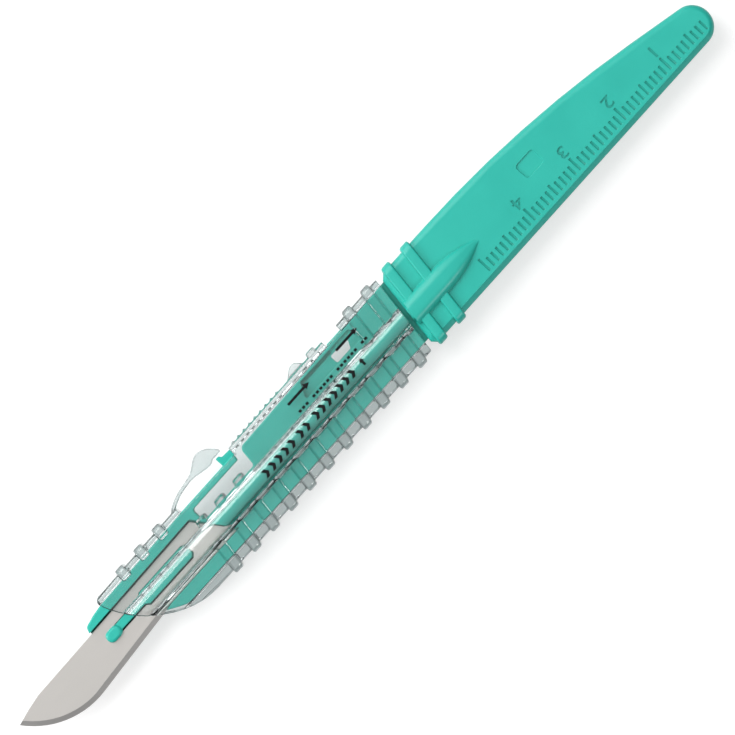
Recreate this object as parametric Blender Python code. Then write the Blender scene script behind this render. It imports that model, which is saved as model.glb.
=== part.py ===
"""Disposable safety scalpel: green handle, steel blade and a clear guard that slides over the blade.

Working frame: X runs from the blade tip (-) to the tail (+), Y is up towards the blade's back,
Z is the thickness. X = 0 and Y = 0 lie on the long axis where the guard meets the grip rings.
An empty then stands the whole thing on the ground, centred.
"""
import math

import bmesh
import bpy
from mathutils import Matrix, Vector

MM = 0.001

# Long places: the long axis crosses the gap between guard and grip at X = 0
TAIL_X = 63.2 * MM
HANDLE_FRONT_X = 0.35 * MM
GUARD_REAR_X = -0.45 * MM
AXIS_Y = -0.1 * MM
LEAN = math.tan(math.radians(9.5))
SLIDE_CLEARANCE = 0.3 * MM

# Ridge that runs the whole length of guard and grip, on both broad sides
RIDGE_HEIGHT = 1.2 * MM
RIDGE_LAND = 0.55 * MM
RIDGE_ROOT = 0.1 * MM

# Grip of the handle
GRIP_TOP_Y = 7.0 * MM
GRIP_BOTTOM_Y = -5.9 * MM
GRIP_HALF_THICK = 2.4 * MM
TAIL_HALF_THICK = 1.8 * MM
TAIL_WIDTH = 5.87 * MM
TAIL_RADIUS = 3.2 * MM
GRIP_BEND_X = 31.9 * MM
GRIP_BEND_SHARE = 0.642
GRIP_TOP_ROUND = 1.0 * MM
GRIP_ROUND_STEPS = 4
GRIP_EDGE_CHAMFER = 0.85 * MM
FRONT_CHAMFER = 0.8 * MM

# Grip rings and the boss behind them
RING_X = 2.0 * MM
RING_COUNT = 2
RIB_PITCH = 4.06 * MM
RIB_WIDTH = 1.7 * MM
RIB_PROUD = 0.6 * MM
RIB_ROUND = 0.3 * MM
RIB_CORNER = 1.4 * MM
BOSS_HALF_WIDTH = 2.05 * MM
BOSS_LIP = 0.25 * MM
BOSS_STRAIGHT = 7.2 * MM
BOSS_END_X = 15.6 * MM
BOSS_STEPS = 9
BOSS_TIP_HALF = 0.12 * MM
BOSS_SINK = 0.05 * MM

# Moulded rule: its zero is the tail end
RULE_FIRST = 2
RULE_LAST = 50
RULE_SPACING = 1.0 * MM
TICK_WIDTH = 0.38 * MM
TICK_DEPTH = 0.22 * MM
TICK_FOOT_Y = -4.54 * MM
TICK_SHORT = 1.7 * MM
TICK_MIDDLE = 2.05 * MM
TICK_LONG = 2.4 * MM
TICK_END_ROUND = 0.1 * MM

# Plain sunk panel on the grip
PANEL_X = 28.75 * MM
PANEL_Y = 1.68 * MM
PANEL_LENGTH = 3.7 * MM
PANEL_WIDTH = 2.65 * MM
PANEL_CORNER = 0.55 * MM
PANEL_DEPTH = 0.22 * MM

# Walls of the guard
GUARD_FRONT_X = -62.25 * MM
GUARD_HALF_THICK = 2.4 * MM
GUARD_BOTTOM_Y = -6.05 * MM
GUARD_TOP_FRONT_Y = 6.22 * MM
GUARD_TOP_REAR_Y = 7.1 * MM
GUARD_CORNER = 0.5 * MM
GUARD_SIDE_WALL = 0.8 * MM
GUARD_TOP_WALL = 0.75 * MM
GUARD_BOTTOM_WALL = 1.25 * MM
CAVITY_CORNER = 0.35 * MM
GUARD_RIDGE_HALF = 1.95 * MM
RIDGE_SIDE_WALL = 0.45 * MM
RIDGE_CREST_WALL = 0.6 * MM

# Open mouth of the guard
MOUTH_BOTTOM_X = -48.3 * MM
MOUTH_TOP_ROUND = 0.85 * MM
MOUTH_PULL_TOP_X = -61.54 * MM
MOUTH_PULL_TOP_Y = 1.45 * MM
MOUTH_PULL_BOTTOM_X = -55.95 * MM
MOUTH_STEPS = 14

# Grip ribs of the guard, numbered from the front
GUARD_RIB_X = -43.25 * MM
GUARD_RIB_COUNT = 11
STUB_RIBS = (0, 1, 2)
FULL_RIBS = (9, 10)
TOP_RIBS = (7,)
RIB_STUB_TOP_Y = 2.9 * MM
GUARD_RIB_CORNER = 0.9 * MM
STUB_CORNER = 0.4 * MM
NOSE_RIB_X = -56.3 * MM
NOSE_RIB_COUNT = 3
NOSE_RIB_FOOT_Y = 4.85 * MM
NOSE_RIB_WIDTH = 1.6 * MM

# Roof of the guard: windows, serrations, hump and release lever
WINDOW_FRONT_X = -44.1 * MM
WINDOW_REAR_X = -32.3 * MM
WINDOW_SILL_Y = 5.3 * MM
CATCH_WINDOW_FRONT_X = -11.4 * MM
CATCH_WINDOW_LENGTH = 3.2 * MM
CATCH_WINDOW_SILL_Y = 5.9 * MM
TOOTH_FIRST_X = -31.2 * MM
TOOTH_PITCH = 1.22 * MM
TOOTH_COUNT = 9
TOOTH_HEIGHT = 0.34 * MM
TOOTH_HALF_BASE = 0.34 * MM
TOOTH_SINK = 0.1 * MM
ROOF_HALF_WIDTH = 1.95 * MM
HUMP_FRONT_X = -19.6 * MM
HUMP_REAR_X = -15.2 * MM
HUMP_PEAK_X = -16.9 * MM
HUMP_PEAK_Y = 8.0 * MM
HUMP_SINK = 0.3 * MM
LEVER_HALF_WIDTH = 1.5 * MM
LEVER_THICK = 0.55 * MM
LEVER_NECK_THICK = 0.75 * MM
LEVER_LIP_THICK = 0.45 * MM
LEVER_HEEL_X = -45.3 * MM
LEVER_HEEL_Y = 6.4 * MM
LEVER_SHOULDER_X = -41.0 * MM
LEVER_SHOULDER_Y = 7.95 * MM
LEVER_NECK_X = -39.2 * MM
LEVER_NECK_Y = 8.25 * MM
LEVER_CROWN_X = -36.3 * MM
LEVER_CROWN_Y = 9.65 * MM
LEVER_END_X = -33.4 * MM
LEVER_LIP_X = -34.9 * MM
LEVER_DIP_X = -35.9 * MM
LEVER_DIP_Y = 6.9 * MM
LEVER_ROUND = 0.2 * MM

# Frame of the handle inside the guard
FRAME_HALF_THICK = GUARD_HALF_THICK - GUARD_SIDE_WALL - SLIDE_CLEARANCE
FRAME_ROUND = 0.25 * MM
FRAME_ROOT = 1.2 * MM
NOSE_TIP_X = -66.4 * MM
NOSE_BROW_X = -66.05 * MM
NOSE_BROW_Y = 4.5 * MM
NOSE_BROW_ROUND = 0.8 * MM
NOSE_SHOULDER_X = -63.2 * MM
NOSE_SHOULDER_Y = 5.14 * MM
NOSE_SHOULDER_ROUND = 9.0 * MM
RAIL_BOTTOM_Y = GUARD_BOTTOM_Y + GUARD_BOTTOM_WALL + SLIDE_CLEARANCE
RAIL_TOP_Y = -2.45 * MM
RAIL_FRONT_X = -56.5 * MM
RAIL_NOSE_LENGTH = 3.4 * MM
RAIL_NOSE_ROUND = 4.0 * MM
TRAY_FRONT_BOTTOM_Y = -1.6 * MM
TRAY_FRONT_LEAN = 0.3 * MM
TRAY_SETBACK = 0.35 * MM
TRAY_CORNER = 0.6 * MM
WEB_FRONT_X = -31.1 * MM
WEB_FRONT_LEAN = 0.5 * MM
WEB_FRONT_ROUND = 0.9 * MM
WEB_TOP_FRONT_Y = 5.4 * MM
WEB_TOP_REAR_Y = 6.02 * MM
CORE_HALF_WIDTH = GUARD_RIDGE_HALF - RIDGE_SIDE_WALL - SLIDE_CLEARANCE
CORE_FRONT_X = -60.5 * MM
CORE_RUNOUT = 2.6 * MM
CORE_NOSE_SHARE = 0.35

# Latch arm and catch
ARM_ROOT_X = -44.0 * MM
ARM_NECK_WIDTH = 1.4 * MM
ARM_BOTTOM_Y = 4.44 * MM
ARM_TOP_Y = 5.5 * MM
ARM_SLOT_BOTTOM_Y = 2.15 * MM
ARM_SLOT_ROUND = 0.5 * MM
ARM_END_ROUND = 0.25 * MM
CATCH_REAR_X = WINDOW_REAR_X - SLIDE_CLEARANCE
CATCH_LENGTH = 2.2 * MM
CATCH_ROOT = 0.75 * MM
CATCH_LIP = 0.35 * MM
CATCH_LIP_LOW_Y = 6.1 * MM
CATCH_LIP_HIGH_Y = 6.4 * MM
CATCH_TOP_Y = 6.5 * MM
CATCH_EAR_Y = 6.95 * MM
CATCH_EAR_TOP = 0.55 * MM
CATCH_EAR_FOOT = 0.9 * MM
CATCH_HALF_WIDTH = 0.75 * MM
CATCH_ROUND = 0.12 * MM

# Sunk pockets, land and opening of the web below the rear window
POCKET_FRONT_X = -19.2 * MM
POCKET_REAR_X = -7.2 * MM
POCKET_LOW_Y = 2.9 * MM
POCKET_HIGH_Y = 5.3 * MM
POCKET_DEPTH = 0.6 * MM
POCKET_SLANT = 1.3 * MM
POCKET_FRONT_ROUND = 0.3 * MM
POCKET_REAR_ROUND = 0.5 * MM
LAND_FRONT_X = -11.2 * MM
LAND_REAR_X = -7.0 * MM
LAND_HEIGHT = 0.3 * MM
LAND_ROOT = 1.0 * MM
LAND_FLARE = 0.3 * MM
LAND_HALF_WIDTH = 0.9 * MM
OPENING_FRONT_X = -12.1 * MM
OPENING_REAR_X = -8.4 * MM
OPENING_LOW_Y = 3.1 * MM
OPENING_HIGH_Y = 4.5 * MM
OPENING_SLANT = 0.8 * MM
OPENING_ROUND = 0.3 * MM

# Blade
BLADE_THICK = 0.4 * MM
BLADE_FIT = 0.1 * MM
BACK_GAP = 0.3 * MM
BLADE_TIP_X = -83.5 * MM
BLADE_TIP_Y = 2.15 * MM
BACK_END_X = -78.4 * MM
BACK_MIDDLE_Y = 2.7 * MM
SHANK_X = -66.8 * MM
BACK_Y_AT_SHANK = 3.27 * MM
BACK_SLOPE = 0.0153
BELLY_RADIUS = 13.3 * MM
BELLY_STEPS = 14
EDGE_END_X = -57.0 * MM
EDGE_END_Y = -2.69 * MM
EDGE_SLOPE = 0.078
EDGE_RUNOUT = 2.2 * MM
SHANK_BOTTOM_Y = RAIL_TOP_Y + BLADE_FIT
HEEL_TOP_X = -44.3 * MM
HEEL_SLANT = 0.70
GRIND_WIDTH = 0.78 * MM
GRIND_TIP_RISE = 0.2
EDGE_HALF_THICK = 0.03 * MM

# Keyhole slot of the blade and the stud that fills it
SLOT_NARROW_X = -64.6 * MM
SLOT_WIDE_FRONT_X = -57.7 * MM
SLOT_WIDE_REAR_X = -47.2 * MM
SLOT_CENTRE_Y = 0.92 * MM
SLOT_NARROW_HALF = 0.8 * MM
SLOT_WIDE_HALF = 1.32 * MM
SLOT_CORNER = 0.6 * MM
SLOT_FRONT_SHARE = 0.8
STUD_LIFT = 0.15 * MM
STUD_TOP_Z = 0.8 * MM
STUD_ROUND = 0.12 * MM
STUD_HEAD_FRONT_X = -65.4 * MM
STUD_HEAD_REAR_X = -62.6 * MM
STUD_HEAD_Y = 0.82 * MM
STUD_HEAD_HALF = 0.97 * MM
STUD_HEAD_TOP_Z = 1.15 * MM
STUD_HEAD_DOME = ((1.0, 0.0), (1.0, 0.35), (0.9, 0.75), (0.62, 1.0))
STUD_HEAD_CORNER_SHARE = 0.9

# Height of the long axis over the ground
CREST_Z = GUARD_HALF_THICK + RIDGE_HEIGHT

# How finely curves are cut up, and which edges are rounded
ARC_STEP = math.radians(15.0)
CORNER_STEP = math.radians(22.5)
TICK_ARC_STEP = math.radians(45.0)
LONG_ARC_STEP = math.radians(2.2)
SOFT_SEGMENTS = 2
SOFT_ANGLE_DEG = 40.0
CREASE_ANGLE_DEG = 60.0
SMOOTH_ANGLE_DEG = 30.0


def corner_arcs(corners, step=ARC_STEP):
    """Outline through (x, y, radius) corners, each rounded by a tangent arc."""
    points = []
    count = len(corners)
    for i, (x, y, radius) in enumerate(corners):
        here = Vector((x, y))
        if radius <= 0.0:
            points.append((x, y))
            continue
        to_last = (Vector(corners[i - 1][:2]) - here).normalized()
        to_next = (Vector(corners[(i + 1) % count][:2]) - here).normalized()
        half = 0.5 * math.acos(max(-1.0, min(1.0, to_last.dot(to_next))))
        reach = radius / math.tan(half)
        centre = here + (to_last + to_next).normalized() * (radius / math.sin(half))
        start = here + to_last * reach - centre
        sweep = math.pi - 2.0 * half
        turn = 1.0 if to_last.cross(to_next) < 0.0 else -1.0
        steps = max(1, math.ceil(sweep / step))
        for k in range(steps + 1):
            angle = turn * sweep * k / steps
            spoke = Matrix.Rotation(angle, 2) @ start
            points.append(tuple(centre + spoke))
    return points


def ellipse_quarter(cx, cy, rx, ry, start_deg, steps):
    """Points on a quarter of an ellipse, turning anticlockwise from start_deg."""
    points = []
    for k in range(steps + 1):
        angle = math.radians(start_deg + 90.0 * k / steps)
        points.append((cx + rx * math.cos(angle), cy + ry * math.sin(angle)))
    return points


def bezier(p0, p1, p2, p3, steps):
    """Points along one cubic curve."""
    points = []
    for k in range(steps + 1):
        t = k / steps
        a, b, c, d = (1 - t) ** 3, 3 * t * (1 - t) ** 2, 3 * t * t * (1 - t), t ** 3
        points.append((a * p0[0] + b * p1[0] + c * p2[0] + d * p3[0],
                       a * p0[1] + b * p1[1] + c * p2[1] + d * p3[1]))
    return points


def flowing_curve(knots, steps):
    """Smooth curve through (x, y, slope) knots, each span a cubic with handles a third of it long."""
    points = [knots[0][:2]]
    for (x0, y0, slope0), (x1, y1, slope1) in zip(knots, knots[1:]):
        handle = (x1 - x0) / 3.0
        span = bezier(
            (x0, y0),
            (x0 + handle, y0 + handle * slope0),
            (x1 - handle, y1 - handle * slope1),
            (x1, y1),
            steps,
        )
        points += span[1:]
    return points


def new_object(name, bm):
    """Put a finished bmesh into a new object, with its faces pointing out."""
    bmesh.ops.recalc_face_normals(bm, faces=bm.faces)
    mesh = bpy.data.meshes.new(name)
    bm.to_mesh(mesh)
    bm.free()
    piece = bpy.data.objects.new(name, mesh)
    bpy.context.scene.collection.objects.link(piece)
    return piece


def loft(name, rings):
    """Closed solid through rings of as many points each, with flat ends."""
    bm = bmesh.new()
    rows = [[bm.verts.new(point) for point in ring] for ring in rings]
    count = len(rows[0])
    for low, high in zip(rows, rows[1:]):
        for i in range(count):
            j = (i + 1) % count
            bm.faces.new((low[i], low[j], high[j], high[i]))
    bm.faces.new(reversed(rows[0]))
    bm.faces.new(rows[-1])
    return new_object(name, bm)


def prism(name, outline, z_low, z_high):
    """Solid with an XY outline between two heights."""
    return loft(name, [[(x, y, z) for x, y in outline] for z in (z_low, z_high)])


def leaning_plate(name, outline_yz, x_centre, width, lean=LEAN):
    """Plate with a YZ outline whose faces lean back with height, as the grip ribs do."""
    rings = []
    for x in (x_centre - width / 2, x_centre + width / 2):
        rings.append([(x + lean * (y - AXIS_Y), y, z) for y, z in outline_yz])
    return loft(name, rings)


def bake(piece):
    """Keep the shape that the piece's modifiers give it."""
    graph = bpy.context.evaluated_depsgraph_get()
    mesh = bpy.data.meshes.new_from_object(piece.evaluated_get(graph))
    piece.modifiers.clear()
    piece.data = mesh
    return piece


def soften(piece, width, angle_deg=SOFT_ANGLE_DEG):
    """Round the edges that turn by more than an angle."""
    bevel = piece.modifiers.new("Soft edges", "BEVEL")
    bevel.width = width
    bevel.segments = SOFT_SEGMENTS
    bevel.limit_method = "ANGLE"
    bevel.angle_limit = math.radians(angle_deg)
    return bake(piece)


def combine(base, tool, operation):
    """Join, cut or intersect two solids and use up the second."""
    change = base.modifiers.new(operation.title(), "BOOLEAN")
    change.operation = operation
    change.solver = "EXACT"
    change.object = tool
    bake(base)
    bpy.data.objects.remove(tool)
    return base


def join(base, *tools):
    for tool in tools:
        combine(base, tool, "UNION")
    return base


def cut(base, *tools):
    for tool in tools:
        combine(base, tool, "DIFFERENCE")
    return base


def ridge_profile(half_width, land_half, crest_z, foot_z, steps=5):
    """YZ outline of a ridge on both broad sides: steep shoulders under a narrow flat land."""
    reach = half_width - land_half
    rise = crest_z - foot_z
    upper = ellipse_quarter(land_half, foot_z, reach, rise, 0.0, steps)
    upper += ellipse_quarter(-land_half, foot_z, reach, rise, 90.0, steps)
    return [(AXIS_Y + y, z) for y, z in upper] + [(AXIS_Y - y, -z) for y, z in upper]


def box_profile(bottom_y, top_y, half_thick, bottom_round, top_round):
    """YZ outline of a rounded box, for walls, cavities and ribs."""
    corners = [
        (top_y, half_thick, top_round),
        (bottom_y, half_thick, bottom_round),
        (bottom_y, -half_thick, bottom_round),
        (top_y, -half_thick, top_round),
    ]
    return corner_arcs(corners, CORNER_STEP)


def along_x(name, sections):
    """Solid through YZ outlines that stand at given places along X."""
    return loft(name, [[(x, y, z) for y, z in outline] for x, outline in sections])


def material(name, colour, roughness, metallic=0.0, alpha=1.0, transmission=0.0):
    finish = bpy.data.materials.new(name)
    finish.use_nodes = True
    shader = finish.node_tree.nodes["Principled BSDF"]
    shader.inputs["Base Color"].default_value = (*colour, 1.0)
    shader.inputs["Roughness"].default_value = roughness
    shader.inputs["Metallic"].default_value = metallic
    shader.inputs["Alpha"].default_value = alpha
    shader.inputs["Transmission Weight"].default_value = transmission
    return finish


def back_y(x):
    """Height of the blade's straight back, which rises a little towards the handle."""
    return BACK_Y_AT_SHANK + BACK_SLOPE * (x - SHANK_X)


def belly_arc():
    """Centre and end angles of the belly, which starts at the tip and runs into the straight edge."""
    edge_end = Vector((EDGE_END_X, EDGE_END_Y))
    along = Vector((1.0, EDGE_SLOPE)).normalized()
    up = Vector((-along.y, along.x))
    tip = Vector((BLADE_TIP_X, BLADE_TIP_Y)) - edge_end
    rise = tip.dot(up)
    reach = math.sqrt(rise * (2.0 * BELLY_RADIUS - rise))
    centre = edge_end + along * (tip.dot(along) + reach) + up * BELLY_RADIUS
    start = math.atan2(BLADE_TIP_X - centre.x, centre.y - BLADE_TIP_Y)
    return centre, start, math.atan(EDGE_SLOPE)


def heel_x(y):
    """Slanting rear end of the blade."""
    return HEEL_TOP_X + HEEL_SLANT * (back_y(HEEL_TOP_X) - y)


def blade_outline(grow=0.0, back_gap=0.0, grind=0.0):
    """Side outline of the blade: grow and back_gap widen it to its seat, grind narrows it to its flat."""
    shank_bottom = SHANK_BOTTOM_Y - grow
    tip = (BLADE_TIP_X - grow + grind, BLADE_TIP_Y + GRIND_TIP_RISE * grind)
    points = [
        (HEEL_TOP_X + back_gap, back_y(HEEL_TOP_X) + back_gap),
        (BACK_END_X, back_y(BACK_END_X) + back_gap),
        (0.5 * (BACK_END_X + BLADE_TIP_X), BACK_MIDDLE_Y + back_gap),
        tip,
    ]
    centre, start, end = belly_arc()
    radius = BELLY_RADIUS + grow - grind
    for k in range(1, BELLY_STEPS + 1):
        angle = start + (end - start) * k / BELLY_STEPS
        points.append((centre.x + radius * math.sin(angle), centre.y - radius * math.cos(angle)))
    points.append((EDGE_END_X, EDGE_END_Y - grow + grind))
    points.append((EDGE_END_X + EDGE_RUNOUT, shank_bottom))
    points.append((heel_x(SHANK_BOTTOM_Y) + back_gap, shank_bottom))
    return points


def keyhole(shrink=0.0, lift=0.0):
    """Keyhole slot of the blade; shrunk, with its lower side lifted, it is the stud in it."""
    narrow = SLOT_NARROW_HALF - shrink
    wide = SLOT_WIDE_HALF - shrink
    front = SLOT_NARROW_X + shrink
    wide_front = SLOT_WIDE_FRONT_X + shrink
    wide_rear = SLOT_WIDE_REAR_X - shrink
    front_round = SLOT_FRONT_SHARE * (narrow - lift / 2)
    high = SLOT_CENTRE_Y
    low = SLOT_CENTRE_Y + lift
    corners = [
        (wide_rear - SLOT_CORNER, high + wide, 0.0),
        (wide_front + SLOT_CORNER, high + wide, 0.0),
        (wide_front, high + narrow, 0.0),
        (front, high + narrow, front_round),
        (front, low - narrow, front_round),
        (wide_front, low - narrow, 0.0),
        (wide_front + SLOT_CORNER, low - wide, 0.0),
        (wide_rear - SLOT_CORNER, low - wide, 0.0),
        (wide_rear, low - narrow, 0.0),
        (wide_rear, high + narrow, 0.0),
    ]
    return corner_arcs(corners, CORNER_STEP)


def make_blade():
    half = BLADE_THICK / 2
    levels = [(-half, GRIND_WIDTH), (-EDGE_HALF_THICK, 0.0), (EDGE_HALF_THICK, 0.0), (half, GRIND_WIDTH)]
    blade = loft("blade", [[(x, y, z) for x, y in blade_outline(grind=grind)] for z, grind in levels])
    return cut(blade, prism("slot", keyhole(), -BLADE_THICK, BLADE_THICK))


def grip_half_thick(x):
    """Half thickness of the grip, which thins evenly from the guard to the tail."""
    along = (x - HANDLE_FRONT_X) / (TAIL_X - HANDLE_FRONT_X)
    return GRIP_HALF_THICK + (TAIL_HALF_THICK - GRIP_HALF_THICK) * along


def grip_outline(inset_round, inset_chamfer):
    """Side outline of the grip: back and tail moved in by one amount, belly and front by another."""
    taper_length = TAIL_X - GRIP_BEND_X
    slope = math.atan2(GRIP_TOP_Y - GRIP_BOTTOM_Y - TAIL_WIDTH, taper_length)
    bend_radius = GRIP_BEND_SHARE * taper_length / math.cos(slope) / math.tan(slope / 2)
    tail_round = min(TAIL_RADIUS, TAIL_WIDTH / (1.0 + math.tan(math.pi / 4 - slope / 2)))
    top = GRIP_TOP_Y - inset_round
    bottom = GRIP_BOTTOM_Y + inset_chamfer
    tail = TAIL_X - inset_round
    bend_x = GRIP_BEND_X - inset_round * math.tan(slope / 2)
    front_top = HANDLE_FRONT_X + inset_chamfer + LEAN * (top - AXIS_Y)
    front_bottom = HANDLE_FRONT_X + inset_chamfer + LEAN * (bottom - AXIS_Y)
    corners = [
        (front_top + FRONT_CHAMFER, top, 0.0),
        (front_top - LEAN * FRONT_CHAMFER, top - FRONT_CHAMFER, 0.0),
        (front_bottom + LEAN * FRONT_CHAMFER, bottom + FRONT_CHAMFER, 0.0),
        (front_bottom + FRONT_CHAMFER, bottom, 0.0),
        (tail, bottom, tail_round - max(inset_round, inset_chamfer)),
        (tail, top - (tail - bend_x) * math.tan(slope), tail_round - inset_round),
        (bend_x, top, bend_radius - inset_round),
    ]
    return corner_arcs(corners, LONG_ARC_STEP)


def make_grip():
    """Flat grip: its back edge is rounded and its belly edge chamfered, on both broad sides."""
    levels = []
    for k in range(GRIP_ROUND_STEPS + 1):
        angle = 0.5 * math.pi * k / GRIP_ROUND_STEPS
        drop = GRIP_TOP_ROUND * (1.0 - math.sin(angle))
        chamfer = max(0.0, GRIP_EDGE_CHAMFER - drop)
        levels.append((drop, GRIP_TOP_ROUND * (1.0 - math.cos(angle)), chamfer))
    rings = []
    for side, order in ((-1.0, reversed(levels)), (1.0, levels)):
        for drop, inset_round, chamfer in order:
            outline = grip_outline(inset_round, chamfer)
            rings.append([(x, y, side * (grip_half_thick(x) - drop)) for x, y in outline])
    return loft("handle", rings)


def make_rings():
    """Two leaning rings that stand proud of the grip all round."""
    outline = box_profile(
        GRIP_BOTTOM_Y - RIB_PROUD,
        GRIP_TOP_Y + RIB_PROUD,
        GRIP_HALF_THICK + RIB_PROUD,
        RIB_CORNER,
        RIB_CORNER,
    )
    rings = []
    for i in range(RING_COUNT):
        ring = leaning_plate("ring", outline, RING_X + i * RIB_PITCH, RIB_WIDTH)
        rings.append(soften(ring, RIB_ROUND))
    return rings


def make_boss():
    """Half round boss on both broad sides, running out over the grip to a point."""
    sections = []
    for k in range(BOSS_STEPS + 1):
        x = BOSS_STRAIGHT + (BOSS_END_X - BOSS_STRAIGHT) * k / BOSS_STEPS
        left = 1.0 - (k / BOSS_STEPS) ** 2
        surface = grip_half_thick(x)
        crest = surface + RIDGE_HEIGHT * left - BOSS_SINK * (1.0 - left)
        width = BOSS_HALF_WIDTH * left + BOSS_TIP_HALF * (1.0 - left)
        land = RIDGE_LAND * width / BOSS_HALF_WIDTH
        sections.append((x, ridge_profile(width, land, crest, surface - RIDGE_ROOT)))
    root = ridge_profile(BOSS_HALF_WIDTH, RIDGE_LAND, CREST_Z, GRIP_HALF_THICK - RIDGE_ROOT)
    sections[0] = (BOSS_STRAIGHT, root)
    front = [(HANDLE_FRONT_X + BOSS_LIP + LEAN * (y - AXIS_Y), y, z) for y, z in root]
    return loft("boss", [front] + [[(x, y, z) for y, z in outline] for x, outline in sections])


def rule_ticks():
    """Sunk millimetre ticks along the belly, longer at every fifth and tenth."""
    ticks = []
    for number in range(RULE_FIRST, RULE_LAST + 1):
        length = TICK_LONG if number % 10 == 0 else TICK_MIDDLE if number % 5 == 0 else TICK_SHORT
        x = TAIL_X - number * RULE_SPACING
        half = TICK_WIDTH / 2
        top = TICK_FOOT_Y + length
        corners = [
            (x + half, top, TICK_END_ROUND),
            (x - half, top, TICK_END_ROUND),
            (x - half, TICK_FOOT_Y, TICK_END_ROUND),
            (x + half, TICK_FOOT_Y, TICK_END_ROUND),
        ]
        floor = grip_half_thick(x) - TICK_DEPTH
        ticks.append(prism("tick", corner_arcs(corners, TICK_ARC_STEP), floor, CREST_Z))
    return gather("ticks", ticks)


def box_corners(x, y, half_x, half_y, radius):
    """Corners of a rounded rectangle, turning anticlockwise."""
    return [(x + sx * half_x, y + sy * half_y, radius) for sx, sy in ((1, 1), (-1, 1), (-1, -1), (1, -1))]


def sunk_panel():
    """Plain sunk panel on the near broad side."""
    corners = box_corners(PANEL_X, PANEL_Y, PANEL_LENGTH / 2, PANEL_WIDTH / 2, PANEL_CORNER)
    floor = grip_half_thick(PANEL_X) - PANEL_DEPTH
    return prism("panel", corner_arcs(corners, CORNER_STEP), floor, CREST_Z)


def gather(name, pieces):
    """One object from pieces that do not touch each other."""
    bm = bmesh.new()
    for piece in pieces:
        bm.from_mesh(piece.data)
        bpy.data.objects.remove(piece)
    return new_object(name, bm)


def web_top_y(x):
    """Top of the web inside the guard, which rises towards the grip."""
    along = (x - WEB_FRONT_X) / (HANDLE_FRONT_X - WEB_FRONT_X)
    return WEB_TOP_FRONT_Y + (WEB_TOP_REAR_Y - WEB_TOP_FRONT_Y) * along


def frame_outline():
    """Side outline of the handle's front half: nose bar, latch arm, web, belly rail and tray."""
    rear = HANDLE_FRONT_X + FRAME_ROOT
    neck_x = ARM_ROOT_X + ARM_NECK_WIDTH
    return [
        (rear, web_top_y(rear), 0.0),
        (WEB_FRONT_X, web_top_y(WEB_FRONT_X), WEB_FRONT_ROUND),
        (WEB_FRONT_X - WEB_FRONT_LEAN, ARM_SLOT_BOTTOM_Y, ARM_SLOT_ROUND),
        (neck_x, ARM_SLOT_BOTTOM_Y, ARM_SLOT_ROUND),
        (neck_x, ARM_BOTTOM_Y, ARM_SLOT_ROUND),
        (CATCH_REAR_X, ARM_BOTTOM_Y, ARM_END_ROUND),
        (CATCH_REAR_X, ARM_TOP_Y, 0.0),
        (ARM_ROOT_X, ARM_TOP_Y, 0.0),
        (NOSE_SHOULDER_X, NOSE_SHOULDER_Y, NOSE_SHOULDER_ROUND),
        (NOSE_BROW_X, NOSE_BROW_Y, NOSE_BROW_ROUND),
        (NOSE_TIP_X, back_y(NOSE_TIP_X) + BACK_GAP, 0.0),
        (NOSE_TIP_X, back_y(NOSE_TIP_X) - TRAY_SETBACK, 0.0),
        (NOSE_TIP_X + TRAY_FRONT_LEAN, TRAY_FRONT_BOTTOM_Y, TRAY_CORNER),
        (RAIL_FRONT_X, RAIL_TOP_Y + TRAY_SETBACK, 0.0),
        (RAIL_FRONT_X, RAIL_TOP_Y, 0.0),
        (RAIL_FRONT_X + RAIL_NOSE_LENGTH, RAIL_BOTTOM_Y, RAIL_NOSE_ROUND),
        (rear, RAIL_BOTTOM_Y, 0.0),
    ]


def make_frame():
    """Everything of the handle that lies inside the guard."""
    outline = corner_arcs(frame_outline())
    frame = prism("frame", outline, -FRAME_HALF_THICK, FRAME_HALF_THICK)
    soften(frame, FRAME_ROUND, CREASE_ANGLE_DEG)
    core_foot = FRAME_HALF_THICK - RIDGE_ROOT
    core_crest = CREST_Z - RIDGE_CREST_WALL - SLIDE_CLEARANCE
    core = ridge_profile(CORE_HALF_WIDTH, RIDGE_LAND, core_crest, core_foot)
    nose_half = CORE_NOSE_SHARE * CORE_HALF_WIDTH
    nose_land = CORE_NOSE_SHARE * RIDGE_LAND
    core_nose = ridge_profile(nose_half, nose_land, core_foot, core_foot / 2)
    nose_x = CORE_FRONT_X - CORE_RUNOUT
    rear = HANDLE_FRONT_X + FRAME_ROOT
    join(frame, along_x("core", [(nose_x, core_nose), (CORE_FRONT_X, core), (rear, core)]))
    seat = blade_outline(grow=BLADE_FIT, back_gap=BACK_GAP)
    cut(frame, prism("seat", seat, -BLADE_THICK / 2 - BLADE_FIT, CREST_Z))
    stud = prism("stud", keyhole(shrink=BLADE_FIT, lift=STUD_LIFT), -FRAME_HALF_THICK / 2, STUD_TOP_Z)
    soften(stud, STUD_ROUND, CREASE_ANGLE_DEG)
    join(frame, stud, make_stud_head(), make_catch(), make_land())
    cut(frame, *pockets())
    return frame


def make_stud_head():
    """Oval head pressed over the blade at the front of the stud."""
    half_length = (STUD_HEAD_REAR_X - STUD_HEAD_FRONT_X) / 2
    centre_x = STUD_HEAD_FRONT_X + half_length
    low = BLADE_THICK / 2 + BLADE_FIT
    rings = []
    for share, rise in STUD_HEAD_DOME:
        half = share * STUD_HEAD_HALF
        corner = STUD_HEAD_CORNER_SHARE * half
        corners = box_corners(centre_x, STUD_HEAD_Y, share * half_length, half, corner)
        z = low + rise * (STUD_HEAD_TOP_Z - low)
        rings.append([(x, y, z) for x, y in corner_arcs(corners, CORNER_STEP)])
    return loft("stud_head", rings)


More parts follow.
